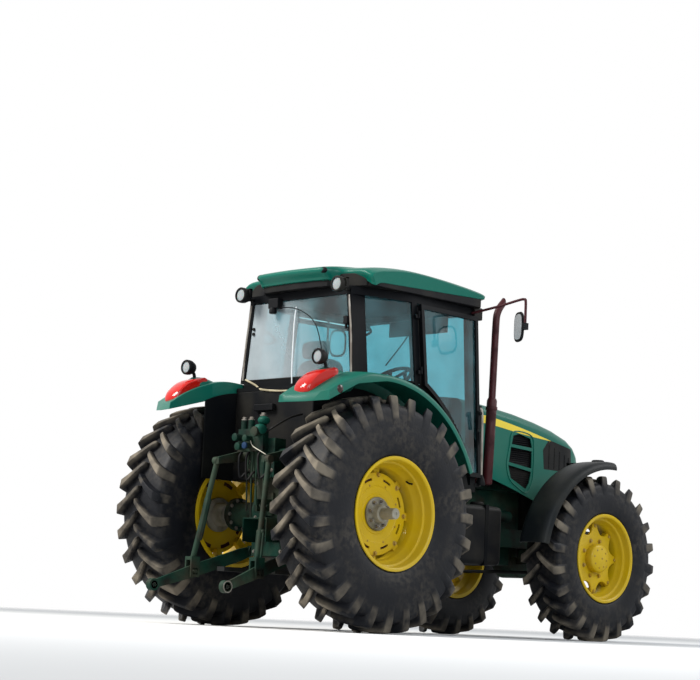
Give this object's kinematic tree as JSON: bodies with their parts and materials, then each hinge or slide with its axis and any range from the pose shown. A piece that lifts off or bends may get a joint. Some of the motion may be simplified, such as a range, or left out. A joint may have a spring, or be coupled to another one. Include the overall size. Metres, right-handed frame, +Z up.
{
  "type": "farm tractor",
  "caption": "Farm tractor with closed glazed cab, four driven lugged wheels, tilting hood and a rear three-point hitch",
  "frame": {"origin": "on the ground under the middle of the tractor's overall box", "axes": "+X forward to the hood, +Y to the driver's left, +Z up"},
  "size_m": [4.5249, 2.2138, 2.7605],
  "materials": {
    "green_paint": "gloss",
    "yellow_paint": "semi-gloss",
    "black_paint": "satin",
    "green_casting": "painted",
    "dark_casting": "matt",
    "black_plastic": "matt",
    "tyre_rubber": "matt",
    "cab_glass": "tinted",
    "red_lens": "gloss",
    "lamp_housing": "matt",
    "seat_fabric": "matt",
    "bare_steel": "worn",
    "rusty_steel": "rusty"
  },
  "bodies": {
    "chassis": {"front_frame": "green_casting", "engine_block": "green_casting", "gearbox": "green_casting", "rear_axle_housing": "green_casting", "front_axle_beam": "green_casting", "hood_cowl": "black_paint", "radiator": "dark_casting", "front_weights": "green_casting", "cab_floor": "black_paint", "cab_frame": "black_paint", "roof": "green_paint", "cab_glass": "cab_glass", "rear_fenders": "green_paint", "tail_lamps": "red_lens", "work_lamps": "lamp_housing", "seat": "seat_fabric", "dash": "black_plastic", "exhaust": "rusty_steel", "mirrors": "black_plastic", "fuel_tank": "black_plastic", "steps": "black_paint", "hitch_housing": "green_casting", "top_link_bracket": "green_casting", "shaft_guard": "black_paint", "remote_valves": "green_casting", "drawbar": "green_casting", "pto_stub": "bare_steel"},
    "hood": {"hood": "green_paint", "grille": "black_plastic", "headlamps": "cab_glass"},
    "steering_wheel": {"steering_wheel": "black_plastic"},
    "lift_arms": {"lift_arms": "green_casting"},
    "tie_rod": {"tie_rod": "dark_casting"},
    "rear_wheel_left": {"rear_tyre_left": "tyre_rubber", "rear_wheel_left": "yellow_paint", "rear_hub_left": "bare_steel"},
    "front_wheel_left": {"front_tyre_left": "tyre_rubber", "front_wheel_left": "yellow_paint"},
    "knuckle_left": {"knuckle_left": "green_casting", "front_fender_left": "black_plastic"},
    "door_left": {"door_left_frame": "black_paint", "door_left_glass": "cab_glass"},
    "lift_rod_left": {"lift_rod_left": "green_casting"},
    "lower_link_left": {"lower_link_left": "green_casting"},
    "rear_wheel_right": {"rear_tyre_right": "tyre_rubber", "rear_wheel_right": "yellow_paint", "rear_hub_right": "bare_steel"},
    "front_wheel_right": {"front_tyre_right": "tyre_rubber", "front_wheel_right": "yellow_paint"},
    "knuckle_right": {"knuckle_right": "green_casting", "front_fender_right": "black_plastic"},
    "door_right": {"door_right_frame": "black_paint", "door_right_glass": "cab_glass"},
    "lift_rod_right": {"lift_rod_right": "green_casting"},
    "lower_link_right": {"lower_link_right": "green_casting"}
  },
  "joints": [
    {"name": "rear_wheel_left_spin", "type": "hinge", "parent": "chassis", "child": "rear_wheel_left", "pos_m": [-1.2175, 0.855, 0.858], "axis": [0, 1, 0], "continuous": true},
    {"name": "knuckle_left_steer", "type": "hinge", "parent": "chassis", "child": "knuckle_left", "pos_m": [1.3725, 0.66, 0.67], "axis": [0, 0, 1], "range_deg": [-28, 28]},
    {"name": "front_wheel_left_spin", "type": "hinge", "parent": "knuckle_left", "child": "front_wheel_left", "pos_m": [1.3725, 0.8, 0.67], "axis": [0, 1, 0], "continuous": true},
    {"name": "door_left_swing", "type": "hinge", "parent": "chassis", "child": "door_left", "pos_m": [-0.6675, 0.763, 1.89], "axis": [0, -0.114, 0.9935], "range_deg": [0, 80]},
    {"name": "lift_rod_left_pin", "type": "hinge", "parent": "lift_arms", "child": "lift_rod_left", "pos_m": [-1.75863, 0.286, 1.224], "axis": [0, 1, 0], "range_deg": [-58, 7]},
    {"name": "lower_link_left_pin", "type": "hinge", "parent": "chassis", "child": "lower_link_left", "pos_m": [-1.3675, 0.28, 0.571], "axis": [0, 1, 0], "range_deg": [-4, 30]},
    {"name": "rear_wheel_right_spin", "type": "hinge", "parent": "chassis", "child": "rear_wheel_right", "pos_m": [-1.2175, -0.855, 0.858], "axis": [0, 1, 0], "continuous": true},
    {"name": "knuckle_right_steer", "type": "hinge", "parent": "chassis", "child": "knuckle_right", "pos_m": [1.3725, -0.66, 0.67], "axis": [0, 0, 1], "range_deg": [-28, 28]},
    {"name": "front_wheel_right_spin", "type": "hinge", "parent": "knuckle_right", "child": "front_wheel_right", "pos_m": [1.3725, -0.8, 0.67], "axis": [0, 1, 0], "continuous": true},
    {"name": "door_right_swing", "type": "hinge", "parent": "chassis", "child": "door_right", "pos_m": [-0.6675, -0.763, 1.89], "axis": [0, -0.114, -0.9935], "range_deg": [0, 80]},
    {"name": "lift_rod_right_pin", "type": "hinge", "parent": "lift_arms", "child": "lift_rod_right", "pos_m": [-1.75863, -0.286, 1.224], "axis": [0, 1, 0], "range_deg": [-58, 7]},
    {"name": "lower_link_right_pin", "type": "hinge", "parent": "chassis", "child": "lower_link_right", "pos_m": [-1.3675, -0.28, 0.571], "axis": [0, 1, 0], "range_deg": [-4, 30]},
    {"name": "tie_rod_pin", "type": "hinge", "parent": "knuckle_left", "child": "tie_rod", "pos_m": [1.1975, 0.66, 0.545], "axis": [0, 0, 1], "range_deg": [-29, 29]},
    {"name": "steering_wheel_turn", "type": "hinge", "parent": "chassis", "child": "steering_wheel", "pos_m": [-0.2375, 0, 1.985], "axis": [-0.6157, 0, 0.788], "continuous": true},
    {"name": "hood_lift", "type": "hinge", "parent": "chassis", "child": "hood", "pos_m": [0.2475, 0, 1.78], "axis": [0, -1, 0], "range_deg": [0, 50]},
    {"name": "lift_arms_raise", "type": "hinge", "parent": "chassis", "child": "lift_arms", "pos_m": [-1.5175, 0, 1.29], "axis": [0, 1, 0], "range_deg": [-6, 62]}
  ],
  "couplings": [
    {"joint": "lift_rod_left_pin", "follows": "lift_arms_raise", "ratio": -0.912},
    {"joint": "lower_link_left_pin", "follows": "lift_arms_raise", "ratio": 0.463},
    {"joint": "lift_rod_right_pin", "follows": "lift_arms_raise", "ratio": -0.912},
    {"joint": "lower_link_right_pin", "follows": "lift_arms_raise", "ratio": 0.463},
    {"joint": "knuckle_right_steer", "follows": "knuckle_left_steer", "ratio": 1},
    {"joint": "tie_rod_pin", "follows": "knuckle_left_steer", "ratio": -1}
  ]
}
